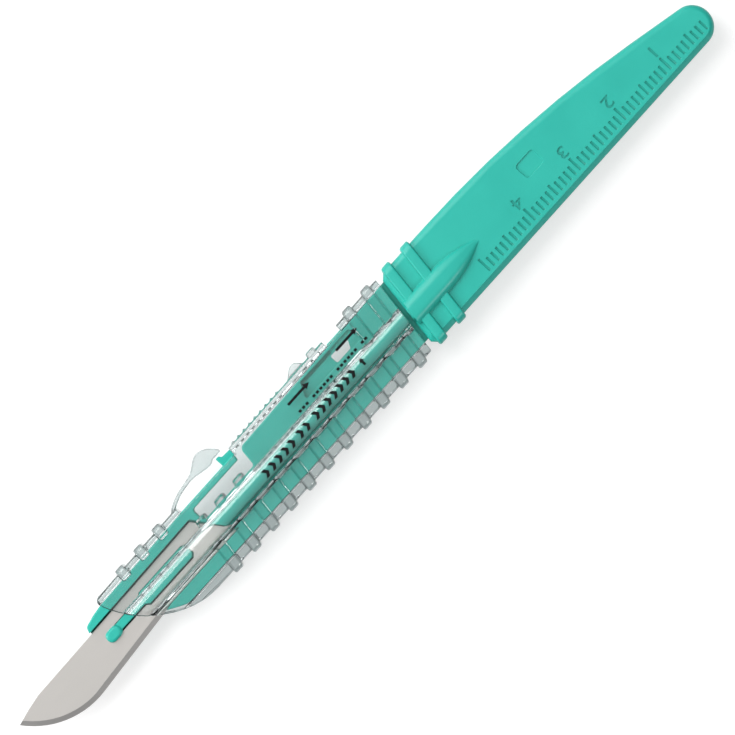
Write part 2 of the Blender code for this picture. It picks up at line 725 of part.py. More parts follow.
def make_catch():
    """Hooked catch at the free end of the latch arm, with an ear that the release lever presses."""
    rear = CATCH_REAR_X
    front = rear - CATCH_LENGTH
    foot = ARM_TOP_Y - CATCH_ROOT
    outline = [
        (front, foot),
        (rear, foot),
        (rear + CATCH_LIP, CATCH_LIP_LOW_Y),
        (rear + CATCH_LIP, CATCH_LIP_HIGH_Y),
        (front + CATCH_EAR_FOOT, CATCH_TOP_Y),
        (front + CATCH_EAR_TOP, CATCH_EAR_Y),
        (front, CATCH_EAR_Y),
    ]
    catch = prism("catch", outline, -CATCH_HALF_WIDTH, CATCH_HALF_WIDTH)
    return soften(catch, CATCH_ROUND, CREASE_ANGLE_DEG)


def make_land():
    """Raised land on the web under the rear window."""
    top = web_top_y(LAND_FRONT_X)
    outline = [
        (LAND_FRONT_X - LAND_FLARE, top - LAND_ROOT),
        (LAND_REAR_X + LAND_FLARE, top - LAND_ROOT),
        (LAND_REAR_X, top + LAND_HEIGHT),
        (LAND_FRONT_X, top + LAND_HEIGHT),
    ]
    return prism("land", outline, -LAND_HALF_WIDTH, LAND_HALF_WIDTH)


def pockets():
    """Sunk pockets on both sides of the web, and the opening through them."""
    outline = corner_arcs([
        (POCKET_REAR_X, POCKET_HIGH_Y, POCKET_REAR_ROUND),
        (POCKET_FRONT_X + POCKET_SLANT, POCKET_HIGH_Y, POCKET_FRONT_ROUND),
        (POCKET_FRONT_X, POCKET_LOW_Y, POCKET_FRONT_ROUND),
        (POCKET_REAR_X, POCKET_LOW_Y, POCKET_REAR_ROUND),
    ])
    opening = corner_arcs([
        (OPENING_REAR_X, OPENING_HIGH_Y, OPENING_ROUND),
        (OPENING_FRONT_X, OPENING_HIGH_Y, OPENING_ROUND),
        (OPENING_FRONT_X, OPENING_LOW_Y, OPENING_ROUND),
        (OPENING_REAR_X - OPENING_SLANT, OPENING_LOW_Y, OPENING_ROUND),
    ])
    floor = FRAME_HALF_THICK - POCKET_DEPTH
    near = prism("pocket", outline, floor, CREST_Z)
    far = prism("pocket", outline, -CREST_Z, -floor)
    return near, far, prism("opening", opening, -CREST_Z, CREST_Z)


def make_handle():
    handle = make_grip()
    join(handle, *make_rings())
    join(handle, make_boss(), make_frame())
    cut(handle, rule_ticks(), sunk_panel())
    return handle


def guard_top_y(x):
    """Outer top of the guard, which rises towards the grip."""
    along = (x - GUARD_FRONT_X) / (GUARD_REAR_X - GUARD_FRONT_X)
    return GUARD_TOP_FRONT_Y + (GUARD_TOP_REAR_Y - GUARD_TOP_FRONT_Y) * along


def guard_front_edge():
    """Curve of the open mouth, from the roof round to the belly."""
    top = (GUARD_FRONT_X, guard_top_y(GUARD_FRONT_X) - MOUTH_TOP_ROUND)
    bottom = (MOUTH_BOTTOM_X, GUARD_BOTTOM_Y)
    pull_top = (MOUTH_PULL_TOP_X, MOUTH_PULL_TOP_Y)
    pull_bottom = (MOUTH_PULL_BOTTOM_X, GUARD_BOTTOM_Y)
    corner_x = GUARD_FRONT_X + MOUTH_TOP_ROUND
    corner = ellipse_quarter(corner_x, top[1], MOUTH_TOP_ROUND, MOUTH_TOP_ROUND, 90.0, 4)
    return corner + bezier(top, pull_top, pull_bottom, bottom, MOUTH_STEPS)[1:]


def guard_trim():
    """Cutters that shape the mouth and the leaning rear end, twice as high as the guard."""
    beyond = 2 * LEVER_CROWN_Y
    edge = guard_front_edge()
    front = [(edge[0][0], beyond)] + edge + [(edge[-1][0], -beyond)]
    front += [(GUARD_FRONT_X - beyond, -beyond), (GUARD_FRONT_X - beyond, beyond)]
    low_x = GUARD_REAR_X + LEAN * (-beyond - AXIS_Y)
    high_x = GUARD_REAR_X + LEAN * (beyond - AXIS_Y)
    rear = [(low_x, -beyond), (low_x + beyond, -beyond), (high_x + beyond, beyond), (high_x, beyond)]
    return prism("mouth", front, -beyond, beyond), prism("rear", rear, -beyond, beyond)


def guard_ribs():
    """Grip ribs that wrap the belly; some run on above the ridge, two go all round."""
    ribs = []
    half = GUARD_HALF_THICK + RIB_PROUD
    for i in range(GUARD_RIB_COUNT):
        x = GUARD_RIB_X + i * RIB_PITCH
        top = AXIS_Y
        if i in STUB_RIBS:
            top = RIB_STUB_TOP_Y
        if i in FULL_RIBS:
            top = guard_top_y(x) + RIB_PROUD
        top_round = GUARD_RIB_CORNER if i in FULL_RIBS else STUB_CORNER
        outline = box_profile(GUARD_BOTTOM_Y - RIB_PROUD, top, half, GUARD_RIB_CORNER, top_round)
        ribs.append(soften(leaning_plate("rib", outline, x, RIB_WIDTH), RIB_ROUND))
    for i in TOP_RIBS:
        x = GUARD_RIB_X + i * RIB_PITCH
        top = guard_top_y(x)
        low = top - RIB_PROUD
        high = top + RIB_PROUD
        outline = box_profile(low, high, GUARD_HALF_THICK, STUB_CORNER, STUB_CORNER)
        ribs.append(soften(leaning_plate("rib", outline, x, RIB_WIDTH), RIB_ROUND))
    for i in range(NOSE_RIB_COUNT):
        x = NOSE_RIB_X + i * RIB_PITCH
        top = guard_top_y(x) + RIB_PROUD
        outline = box_profile(NOSE_RIB_FOOT_Y, top, half, STUB_CORNER, GUARD_RIB_CORNER)
        ribs.append(soften(leaning_plate("nose_rib", outline, x, NOSE_RIB_WIDTH, 0.0), RIB_ROUND))
    return gather("ribs", ribs)


def make_lever():
    """Curved release lever that reaches back over the front window to the catch."""
    lip_y = CATCH_EAR_Y + SLIDE_CLEARANCE
    upper = flowing_curve([
        (LEVER_HEEL_X, LEVER_HEEL_Y, 0.75),
        (LEVER_SHOULDER_X, LEVER_SHOULDER_Y, 0.1),
        (LEVER_NECK_X, LEVER_NECK_Y, 0.2),
        (LEVER_CROWN_X, LEVER_CROWN_Y, 0.0),
        (LEVER_END_X, lip_y + LEVER_LIP_THICK, -1.6),
    ], 5)
    under = flowing_curve([
        (LEVER_END_X, lip_y, 0.0),
        (LEVER_LIP_X, lip_y, 0.0),
        (LEVER_DIP_X, LEVER_DIP_Y, 0.0),
        (LEVER_NECK_X, LEVER_NECK_Y - LEVER_NECK_THICK, -0.1),
        (LEVER_SHOULDER_X, LEVER_SHOULDER_Y - LEVER_THICK, 0.05),
        (LEVER_HEEL_X, LEVER_HEEL_Y - LEVER_THICK, 0.55),
    ], 4)
    lever = prism("lever", upper + under, -LEVER_HALF_WIDTH, LEVER_HALF_WIDTH)
    return soften(lever, LEVER_ROUND, CREASE_ANGLE_DEG)


def make_hump():
    """Thumb hump on the roof behind the serrations."""
    base = guard_top_y(HUMP_FRONT_X) - HUMP_SINK
    outline = flowing_curve([
        (HUMP_FRONT_X, base, 0.35),
        (HUMP_PEAK_X, HUMP_PEAK_Y, 0.0),
        (HUMP_REAR_X, base, -1.0),
    ], 5)
    hump = prism("hump", outline, -ROOF_HALF_WIDTH, ROOF_HALF_WIDTH)
    return soften(hump, LEVER_ROUND, CREASE_ANGLE_DEG)


def make_teeth():
    """Fine serrations across the roof."""
    teeth = []
    for i in range(TOOTH_COUNT):
        x = TOOTH_FIRST_X + i * TOOTH_PITCH
        foot = guard_top_y(x) - TOOTH_SINK
        tip = guard_top_y(x) + TOOTH_HEIGHT
        outline = [(x - TOOTH_HALF_BASE, foot), (x + TOOTH_HALF_BASE, foot), (x, tip)]
        teeth.append(prism("tooth", outline, -ROOF_HALF_WIDTH, ROOF_HALF_WIDTH))
    return gather("teeth", teeth)


def make_guard():
    """Clear guard: a blank that runs past both ends, then trimmed, hollowed and cut."""
    ends = (GUARD_FRONT_X - GUARD_HALF_THICK, GUARD_REAR_X + GUARD_HALF_THICK)
    inside_bottom = GUARD_BOTTOM_Y + GUARD_BOTTOM_WALL
    inside_half = GUARD_HALF_THICK - GUARD_SIDE_WALL
    walls = []
    cavity = []
    for x in ends:
        top = guard_top_y(x)
        walls.append((x, box_profile(GUARD_BOTTOM_Y, top, GUARD_HALF_THICK, GUARD_CORNER, GUARD_CORNER)))
        inside = box_profile(inside_bottom, top - GUARD_TOP_WALL, inside_half, CAVITY_CORNER, CAVITY_CORNER)
        cavity.append((x, inside))
    ridge = ridge_profile(GUARD_RIDGE_HALF, RIDGE_LAND, CREST_Z, GUARD_HALF_THICK - RIDGE_ROOT)
    channel_half = GUARD_RIDGE_HALF - RIDGE_SIDE_WALL
    channel = ridge_profile(channel_half, RIDGE_LAND, CREST_Z - RIDGE_CREST_WALL, inside_half - RIDGE_ROOT)
    guard = along_x("guard", walls)
    join(guard, along_x("ridge", [(x, ridge) for x in ends]), guard_ribs(), make_hump(), make_teeth())
    cut(guard, *guard_trim())
    cut(guard, along_x("cavity", cavity), along_x("channel", [(x, channel) for x in ends]))
    cut(guard, *roof_openings())
    return join(guard, make_lever())


def block(name, front_x, rear_x, low_y, high_y, half_z):
    """Plain block between two places along X and Y."""
    outline = [(rear_x, high_y), (front_x, high_y), (front_x, low_y), (rear_x, low_y)]
    return prism(name, outline, -half_z, half_z)


def roof_openings():
    """Front window, rear window for the catch and the slot between them that lets the catch pass."""
    high = 2 * LEVER_CROWN_Y
    side = 2 * GUARD_HALF_THICK
    slot_half = CATCH_HALF_WIDTH + SLIDE_CLEARANCE
    rear_window_front = CATCH_WINDOW_FRONT_X
    rear_window_rear = CATCH_WINDOW_FRONT_X + CATCH_WINDOW_LENGTH
    slot_front = (WINDOW_FRONT_X + WINDOW_REAR_X) / 2
    slot_rear = (rear_window_front + rear_window_rear) / 2
    return (
        block("window", WINDOW_FRONT_X, WINDOW_REAR_X, WINDOW_SILL_Y, high, side),
        block("catch_window", rear_window_front, rear_window_rear, CATCH_WINDOW_SILL_Y, high, side),
        block("catch_slot", slot_front, slot_rear, WINDOW_SILL_Y, high, slot_half),
    )


def clear_scene():
    for piece in list(bpy.data.objects):
        bpy.data.objects.remove(piece, do_unlink=True)


def holder(name, location, parent=None):
    """Empty that carries pieces."""
    empty = bpy.data.objects.new(name, None)
    empty.location = location
    empty.parent = parent
    bpy.context.scene.collection.objects.link(empty)
    return empty


def main():
    clear_scene()
    handle = make_handle()
    blade = make_blade()
    guard = make_guard()
    centre_x = (BLADE_TIP_X + TAIL_X) / 2
    centre_y = (GUARD_BOTTOM_Y - RIB_PROUD + LEVER_CROWN_Y) / 2
    stand = holder("scalpel", (-centre_x, -centre_y, CREST_Z))
    slide = holder("guard_slide", (0.0, AXIS_Y, 0.0), stand)
    green = material("green_plastic", (0.05, 0.52, 0.43), 0.35)
    steel = material("ground_steel", (0.55, 0.53, 0.50), 0.35, metallic=1.0)
    clear = material("clear_plastic", (0.92, 0.95, 0.95), 0.08, alpha=0.35, transmission=0.9)
    for piece, finish in ((handle, green), (blade, steel), (guard, clear)):
        piece.data.materials.clear()
        piece.data.materials.append(finish)
        piece.parent = stand
    guard.data.transform(Matrix.Translation((0.0, -AXIS_Y, 0.0)))
    guard.parent = slide
    for piece in (handle, guard):
        piece.data.shade_smooth()
        piece.data.set_sharp_from_angle(angle=math.radians(SMOOTH_ANGLE_DEG))


main()
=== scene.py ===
# %% [markdown]
# # A disposable safety scalpel
#
# Three pieces make the real tool: a green moulded handle, a ground steel blade and a clear guard
# that slides over the blade. The CAD frame already holds their true sizes. This notebook gives them
# their finished edges, the small moulded figures of the rule, the print on the guard, and the look
# of each plastic and of the steel.

# %% Load the frame
import bmesh
import bpy
import math
from mathutils import Matrix, Vector


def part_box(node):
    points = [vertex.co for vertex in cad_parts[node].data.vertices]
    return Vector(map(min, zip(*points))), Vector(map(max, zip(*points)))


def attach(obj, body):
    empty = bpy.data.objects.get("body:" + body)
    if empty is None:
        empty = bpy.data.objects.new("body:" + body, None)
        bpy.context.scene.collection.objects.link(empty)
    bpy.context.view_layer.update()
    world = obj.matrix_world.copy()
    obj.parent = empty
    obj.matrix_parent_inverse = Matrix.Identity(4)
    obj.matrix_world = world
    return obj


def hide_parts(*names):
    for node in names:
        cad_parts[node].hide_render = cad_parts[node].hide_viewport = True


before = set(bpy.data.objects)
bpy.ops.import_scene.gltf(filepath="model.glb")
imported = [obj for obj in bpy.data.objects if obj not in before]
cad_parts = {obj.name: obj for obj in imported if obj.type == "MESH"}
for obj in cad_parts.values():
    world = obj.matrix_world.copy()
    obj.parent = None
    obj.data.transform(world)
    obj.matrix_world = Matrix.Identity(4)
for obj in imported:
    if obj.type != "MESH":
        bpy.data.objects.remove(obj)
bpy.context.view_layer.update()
scene = bpy.context.scene

# %% [markdown]
# ## Where things are
#
# It is easier to draw on the tool than on the ground. The tool's own lengths run from the gap
# between guard and grip, with X towards the tail, Y towards the back of the blade and Z up out of
# the flat. One small function turns such a place, in millimetres, into a place in the frame. Its
# three offsets are measured on the CAD nodes.

# %% Places on the tool
MM = 0.001
TAIL_X = 63.2
BLADE_BACK_TO_GUARD_FOOT = 6.65

handle_low, handle_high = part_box("handle")
guard_low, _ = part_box("guard")
ORIGIN = Vector((
    handle_high.x - TAIL_X * MM,
    guard_low.y + BLADE_BACK_TO_GUARD_FOOT * MM,
    (handle_low.z + handle_high.z) / 2,
))


def place(x, y, z=0.0):
    """A point of the frame from a place on the tool in millimetres."""
    return ORIGIN + Vector((x, y, z)) * MM


print("tool origin in mm:", [round(1000 * value, 2) for value in ORIGIN])

# %% [markdown]
# ## The camera
#
# The picture looks straight down from far away, and the tool lies across it from corner to corner.
# So the camera stands above, turned about the vertical, with a long lens: a long lens keeps both
# ends of the tool the same size.

# %% Camera
PICTURE_WIDTH = 108.9 * MM
PICTURE_CENTRE = (-9.63, -0.667)
TOOL_TURN = math.radians(48.0)
CAMERA_DISTANCE = 0.62

camera = bpy.data.objects.new("camera", bpy.data.cameras.new("camera"))
scene.collection.objects.link(camera)
camera.data.lens = camera.data.sensor_width * CAMERA_DISTANCE / PICTURE_WIDTH
camera.data.dof.use_dof = False
camera.location = place(*PICTURE_CENTRE) + Vector((0.0, 0.0, CAMERA_DISTANCE))
camera.rotation_euler = (0.0, 0.0, -TOOL_TURN)
scene.camera = camera
print("lens in mm:", round(camera.data.lens, 1))

# %% [markdown]
# ## The studio
#
# A few small helpers come first, because every material here uses them: they join the nodes of a
# tree in pairs, start a material, and add the nodes for sums and for mixed colours.
#
# A scalpel is photographed on a white sweep under big soft lamps. The sweep here is one flat floor.
# To the camera, and in reflections and through clear plastic, it is given a little light of its
# own, so it reads as white paper while it still keeps the soft grey shadow of the tool. The key
# lamp stands on the side of the blade's back, so the shadow falls towards the cutting edge. The
# fill lamp is small, so it draws crisp glints on the clear plastic and leaves the lower side of the
# round bars in shade.

# %% Helpers for node trees
def link_nodes(tree, *pairs):
    """Join output sockets to input sockets."""
    for out_socket, in_socket in pairs:
        tree.links.new(out_socket, in_socket)


def empty_material(name):
    """A new material with nothing but its output node."""
    finish = bpy.data.materials.new(name)
    finish.use_nodes = True
    tree = finish.node_tree
    tree.nodes.clear()
    return finish, tree, tree.nodes.new("ShaderNodeOutputMaterial")


def math_node(tree, operation, first=None, second=None):
    """A node that works on two values, either of which may be set here."""
    node = tree.nodes.new("ShaderNodeMath")
    node.operation = operation
    for socket, value in zip(node.inputs, (first, second)):
        if value is not None:
            socket.default_value = value
    return node


def colour_mix(tree, second, first=None):
    """A node that mixes two colours by its factor; the first may come from another node."""
    node = tree.nodes.new("ShaderNodeMix")
    node.data_type = "RGBA"
    node.inputs["B"].default_value = second
    if first is not None:
        node.inputs["A"].default_value = first
    return node


print("node helpers ready")

# %% White floor
FLOOR_SIZE = 3.0
FLOOR_ALBEDO = 0.50
FLOOR_GLOW = 0.58

floor_paper, tree, output = empty_material("floor_paper")
diffuse = tree.nodes.new("ShaderNodeBsdfDiffuse")
diffuse.inputs["Color"].default_value = (FLOOR_ALBEDO, FLOOR_ALBEDO, FLOOR_ALBEDO, 1.0)
glow = tree.nodes.new("ShaderNodeEmission")
rays = tree.nodes.new("ShaderNodeLightPath")
seen = math_node(tree, "MAXIMUM")
through = math_node(tree, "MAXIMUM")
strength = math_node(tree, "MULTIPLY", second=FLOOR_GLOW)
add = tree.nodes.new("ShaderNodeAddShader")
link_nodes(
    tree,
    (rays.outputs["Is Camera Ray"], seen.inputs[0]),
    (rays.outputs["Is Glossy Ray"], seen.inputs[1]),
    (seen.outputs[0], through.inputs[0]),
    (rays.outputs["Is Transmission Ray"], through.inputs[1]),
    (through.outputs[0], strength.inputs[0]),
    (strength.outputs[0], glow.inputs["Strength"]),
    (diffuse.outputs[0], add.inputs[0]),
    (glow.outputs[0], add.inputs[1]),
    (add.outputs[0], output.inputs["Surface"]),
)

floor_mesh = bpy.data.meshes.new("floor")
bm = bmesh.new()
bmesh.ops.create_grid(bm, x_segments=1, y_segments=1, size=FLOOR_SIZE / 2)
bm.to_mesh(floor_mesh)
bm.free()
floor_mesh.materials.append(floor_paper)
floor = bpy.data.objects.new("floor", floor_mesh)
scene.collection.objects.link(floor)
print("floor side in m:", FLOOR_SIZE)

# %% Lamps
TOOL_MIDDLE = Vector((0.0, 0.0, 0.0))


def soft_lamp(name, location, width, height, power):
    """A rectangular area lamp that points at the middle of the tool."""
    lamp = bpy.data.lights.new(name, "AREA")
    lamp.shape = "RECTANGLE"
    lamp.size = width
    lamp.size_y = height
    lamp.energy = power
    holder = bpy.data.objects.new(name, lamp)
    holder.location = location
    aim = TOOL_MIDDLE - Vector(location)
    holder.rotation_euler = aim.to_track_quat("-Z", "Y").to_euler()
    scene.collection.objects.link(holder)
    return holder


soft_lamp("key_lamp", (-0.05, 0.42, 0.46), width=0.34, height=0.52, power=2.45)
soft_lamp("low_lamp", (0.0, 0.60, 0.17), width=0.34, height=0.16, power=0.35)
soft_lamp("side_lamp", (-0.55, 0.25, 0.30), width=0.28, height=0.28, power=2.2)
soft_lamp("fill_lamp", (0.10, -0.50, 0.45), width=0.16, height=0.16, power=1.2)

# %% [markdown]
# ### The room around the lamps
#
# Clear plastic only shows where it mirrors or bends something of another brightness. So the room is
# not white all round: it is bright overhead and behind the key lamp, and falls off to near black
# behind the cutting edge and low down. The clear walls then get the thin grey outlines that they
# have on a photograph. The camera itself sees white.

# %% Room
ROOM_DARK = 0.03
ROOM_BRIGHT = 0.75
ROOM_WHITE = 1.0
BRIGHT_SIDE = Vector((-0.25, 0.5, 0.83)).normalized()
FALLOFF_START = 0.1
FALLOFF_END = 0.95

world = bpy.data.worlds.new("studio")
world.use_nodes = True
tree = world.node_tree
background = tree.nodes["Background"]
background.inputs["Color"].default_value = (1.0, 1.0, 1.0, 1.0)
direction = tree.nodes.new("ShaderNodeTexCoord")
towards_key = tree.nodes.new("ShaderNodeVectorMath")
towards_key.operation = "DOT_PRODUCT"
towards_key.inputs[1].default_value = BRIGHT_SIDE
falloff = tree.nodes.new("ShaderNodeMapRange")
falloff.interpolation_type = "SMOOTHSTEP"
falloff.inputs["From Min"].default_value = FALLOFF_START
falloff.inputs["From Max"].default_value = FALLOFF_END
falloff.inputs["To Min"].default_value = ROOM_DARK
falloff.inputs["To Max"].default_value = ROOM_BRIGHT
rays = tree.nodes.new("ShaderNodeLightPath")
backdrop = tree.nodes.new("ShaderNodeMix")
backdrop.data_type = "FLOAT"
backdrop.inputs["B"].default_value = ROOM_WHITE
link_nodes(
    tree,
    (direction.outputs["Generated"], towards_key.inputs[0]),
    (towards_key.outputs["Value"], falloff.inputs["Value"]),
    (rays.outputs["Is Camera Ray"], backdrop.inputs["Factor"]),
    (falloff.outputs["Result"], backdrop.inputs["A"]),
    (backdrop.outputs["Result"], background.inputs["Strength"]),
)
scene.world = world
scene.view_settings.view_transform = "Standard"
print("room light from", ROOM_DARK, "to", ROOM_BRIGHT)

# %% [markdown]
# ## The finishes
#
# No real plastic is perfectly even. A mould leaves a faint skin: the gloss changes a little from
# place to place and the surface is never quite flat. One node group holds that skin, and each
# plastic uses it with its own values. A second group holds fine straight lines, for the rolled flat
# and the ground band of the steel. Both read Object coordinates, which are metres on the tool, so
# their scale is real.

# %% Node group: moulded skin
def group_socket(tree, name, direction, kind="NodeSocketFloat", value=None):
    """Add a named socket to a node group."""
    socket = tree.interface.new_socket(name=name, in_out=direction, socket_type=kind)
    if value is not None:
        socket.default_value = value
    return socket


def make_moulded_skin():
    """Soft unevenness of a moulded surface: a gloss value and a normal."""
    tree = bpy.data.node_groups.new("moulded_skin", "ShaderNodeTree")
    group_socket(tree, "Patch Size", "INPUT", value=0.004)
    group_socket(tree, "Grain Size", "INPUT", value=0.0004)
    group_socket(tree, "Grain Depth", "INPUT", value=0.000002)
    group_socket(tree, "Roughness", "INPUT", value=0.3)
    group_socket(tree, "Roughness Spread", "INPUT", value=0.08)
    group_socket(tree, "Roughness", "OUTPUT")
    group_socket(tree, "Patches", "OUTPUT")
    group_socket(tree, "Normal", "OUTPUT", "NodeSocketVector")
    inputs = tree.nodes.new("NodeGroupInput")
    outputs = tree.nodes.new("NodeGroupOutput")
    place_on = tree.nodes.new("ShaderNodeTexCoord")
    patch_scale = math_node(tree, "DIVIDE", first=1.0)
    grain_scale = math_node(tree, "DIVIDE", first=1.0)
    patches = tree.nodes.new("ShaderNodeTexNoise")
    patches.inputs["Detail"].default_value = 3.0
    grain = tree.nodes.new("ShaderNodeTexNoise")
    grain.inputs["Detail"].default_value = 2.0
    centred = math_node(tree, "SUBTRACT", second=0.5)
    spread = math_node(tree, "MULTIPLY_ADD")
    bump = tree.nodes.new("ShaderNodeBump")
    link_nodes(
        tree,
        (inputs.outputs["Patch Size"], patch_scale.inputs[1]),
        (inputs.outputs["Grain Size"], grain_scale.inputs[1]),
        (place_on.outputs["Object"], patches.inputs["Vector"]),
        (patch_scale.outputs[0], patches.inputs["Scale"]),
        (place_on.outputs["Object"], grain.inputs["Vector"]),
        (grain_scale.outputs[0], grain.inputs["Scale"]),
        (patches.outputs["Fac"], centred.inputs[0]),
        (centred.outputs[0], spread.inputs[0]),
        (inputs.outputs["Roughness Spread"], spread.inputs[1]),
        (inputs.outputs["Roughness"], spread.inputs[2]),
        (grain.outputs["Fac"], bump.inputs["Height"]),
        (inputs.outputs["Grain Depth"], bump.inputs["Distance"]),
        (spread.outputs[0], outputs.inputs["Roughness"]),
        (patches.outputs["Fac"], outputs.inputs["Patches"]),
        (bump.outputs["Normal"], outputs.inputs["Normal"]),
    )
    return tree


MOULDED_SKIN = make_moulded_skin()
skin_outputs = [item.name for item in MOULDED_SKIN.interface.items_tree if item.in_out == "OUTPUT"]
print("group outputs:", skin_outputs)

# %% Node group: fine lines
def make_fine_lines():
    """Long fine lines along the local X of the rotated pattern: a mask from 0 to 1."""
    tree = bpy.data.node_groups.new("fine_lines", "ShaderNodeTree")
    group_socket(tree, "Turn", "INPUT", "NodeSocketVector")
    group_socket(tree, "Lines per Metre", "INPUT", value=6000.0)
    group_socket(tree, "Length Ratio", "INPUT", value=0.02)
    group_socket(tree, "Lines", "OUTPUT")
    inputs = tree.nodes.new("NodeGroupInput")
    outputs = tree.nodes.new("NodeGroupOutput")
    place_on = tree.nodes.new("ShaderNodeTexCoord")
    turn = tree.nodes.new("ShaderNodeVectorRotate")
    turn.rotation_type = "EULER_XYZ"
    stretch = tree.nodes.new("ShaderNodeCombineXYZ")
    stretch.inputs["Y"].default_value = 1.0
    stretch.inputs["Z"].default_value = 1.0
    along = tree.nodes.new("ShaderNodeVectorMath")
    along.operation = "MULTIPLY"
    lines = tree.nodes.new("ShaderNodeTexNoise")
    lines.inputs["Detail"].default_value = 2.0
    link_nodes(
        tree,
        (place_on.outputs["Object"], turn.inputs["Vector"]),
        (inputs.outputs["Turn"], turn.inputs["Rotation"]),
        (inputs.outputs["Length Ratio"], stretch.inputs["X"]),
        (turn.outputs[0], along.inputs[0]),
        (stretch.outputs[0], along.inputs[1]),
        (along.outputs[0], lines.inputs["Vector"]),
        (inputs.outputs["Lines per Metre"], lines.inputs["Scale"]),
        (lines.outputs["Fac"], outputs.inputs["Lines"]),
    )
    return tree


FINE_LINES = make_fine_lines()


def use_group(tree, group, **values):
    """Place a node group in a material and set its inputs."""
    node = tree.nodes.new("ShaderNodeGroup")
    node.node_tree = group
    for name, value in values.items():
        node.inputs[name.replace("_", " ")].default_value = value
    return node


print("fine lines ready")

# %% [markdown]
# ### Green plastic
#
# The handle is one teal moulding with a soft satin gloss. A little light goes into such plastic and
# comes out again close by, which softens small sunk marks, so a touch of subsurface scattering is
# added to the base colour. The colour itself drifts by a few percent over some millimetres, as the
# melt does in the mould. The floors of sunk figures, grooves and slots get a painted shade, a darker
# green that stands in for the light that has to find its way in and out. So does the side of the
# core bar that turns away from the lamp. Their faces carry the mask of painted shade.

# %% Green plastic
GREEN_LIGHT = (0.026, 0.465, 0.380, 1.0)
GREEN_DEEP = (0.018, 0.400, 0.330, 1.0)
# The darker green of the painted shade on sunk floors and on the core bar's shaded side.
GREEN_PAINTED_SHADE = (0.001, 0.110, 0.088, 1.0)
GREEN_GLOSS = 0.36
PAINTED_SHADE_MASK = "painted_shade"


def make_green_plastic():
    """Satin teal plastic with a painted shade, a darker green, where the mask of painted shade is
    filled.
    """
    finish, tree, output = empty_material("green_plastic")
    shader = tree.nodes.new("ShaderNodeBsdfPrincipled")
    skin = use_group(tree, MOULDED_SKIN, Patch_Size=0.006, Grain_Size=0.00035, Grain_Depth=0.000003,
                     Roughness=0.36, Roughness_Spread=0.12)
    tint = colour_mix(tree, first=GREEN_DEEP, second=GREEN_LIGHT)
    painted_shade = tree.nodes.new("ShaderNodeAttribute")
    painted_shade.attribute_name = PAINTED_SHADE_MASK
    shade = colour_mix(tree, second=GREEN_PAINTED_SHADE)
    shader.inputs["Specular IOR Level"].default_value = GREEN_GLOSS
    shader.inputs["Subsurface Weight"].default_value = 0.08
    shader.inputs["Subsurface Radius"].default_value = (0.4, 1.0, 0.9)
    shader.inputs["Subsurface Scale"].default_value = 0.0006
    shader.inputs["IOR"].default_value = 1.5
    link_nodes(
        tree,
        (skin.outputs["Patches"], tint.inputs["Factor"]),
        (painted_shade.outputs["Fac"], shade.inputs["Factor"]),
        (tint.outputs["Result"], shade.inputs["A"]),
        (shade.outputs["Result"], shader.inputs["Base Color"]),
        (skin.outputs["Roughness"], shader.inputs["Roughness"]),
        (skin.outputs["Normal"], shader.inputs["Normal"]),
        (shader.outputs[0], output.inputs["Surface"]),
    )
    return finish


green_plastic = make_green_plastic()
print("made", green_plastic.name)

# %% [markdown]
# ### Steel
#
# The blade is stamped from a polished strip and then ground along its edge. The flat has very faint
# lines along its length; the ground band has short lines across it and looks darker, because it
# leans away from the light; its darker colour is a painted shade for that. Both are the same
# recipe with other values.

# %% Steel
STEEL_ROUGHNESS_SPREAD = 0.08


def make_steel(name, colour, roughness, turn, lines_per_metre, length_ratio, depth):
    """Bare steel with fine lines that vary its gloss and dent its surface by a micrometre or so."""
    finish, tree, output = empty_material(name)
    shader = tree.nodes.new("ShaderNodeBsdfPrincipled")
    shader.inputs["Metallic"].default_value = 1.0
    shader.inputs["Base Color"].default_value = (*colour, 1.0)
    lines = use_group(tree, FINE_LINES, Turn=turn, Lines_per_Metre=lines_per_metre,
                      Length_Ratio=length_ratio)
    rough = tree.nodes.new("ShaderNodeMapRange")
    rough.inputs["To Min"].default_value = roughness - STEEL_ROUGHNESS_SPREAD
    rough.inputs["To Max"].default_value = roughness + STEEL_ROUGHNESS_SPREAD
    bump = tree.nodes.new("ShaderNodeBump")
    bump.inputs["Distance"].default_value = depth
    link_nodes(
        tree,
        (lines.outputs["Lines"], rough.inputs["Value"]),
        (rough.outputs["Result"], shader.inputs["Roughness"]),
        (lines.outputs["Lines"], bump.inputs["Height"]),
        (bump.outputs["Normal"], shader.inputs["Normal"]),
        (shader.outputs[0], output.inputs["Surface"]),
    )
    return finish


steel_flat = make_steel(
    "steel_flat",
    colour=(0.675, 0.652, 0.622),
    roughness=0.34,
    turn=(0.0, 0.0, 0.0),
    lines_per_metre=5000.0,
    length_ratio=0.02,
    depth=0.0000015,
)
steel_ground_painted_shade = make_steel(
    "steel_ground_painted_shade",
    colour=(0.46, 0.45, 0.44),
    roughness=0.38,
    turn=(0.0, 0.0, math.radians(80)),
    lines_per_metre=9000.0,
    length_ratio=0.03,
    depth=0.000003,
)
print("made", steel_flat.name, "and", steel_ground_painted_shade.name)

# %% [markdown]
# ### Clear plastic
#
# The guard is clear, so what one sees is mostly bent light: bright bands where a wall mirrors the
# lamp, grey where one looks along a wall. Two things make it grey. The plastic swallows a little
# light on the way, so a wall seen edge on is darker than one seen flat; that is an absorption in
# its volume. And each moulded corner sends the light sideways, so it draws a thin dark line; that
# line is helped by a painted shade: those faces carry a mask of their own, called edge, that mixes
# a dark grey into the colour there. Rays on their way to a lamp pass straight through, or the green
# plastic inside would stand in a false shadow.

# %% Clear plastic
CLEAR = (0.96, 0.975, 0.975, 1.0)
# A dark grey mixed in on the corners of the clear plastic: a painted shade for their dark lines.
CLEAR_EDGE_SHADE = (0.16, 0.22, 0.22, 1.0)
EDGE_MASK = "edge"
ABSORPTION = (0.40, 0.50, 0.50, 1.0)
ABSORPTION_PER_METRE = 190.0
LAMP_PASS = 0.97


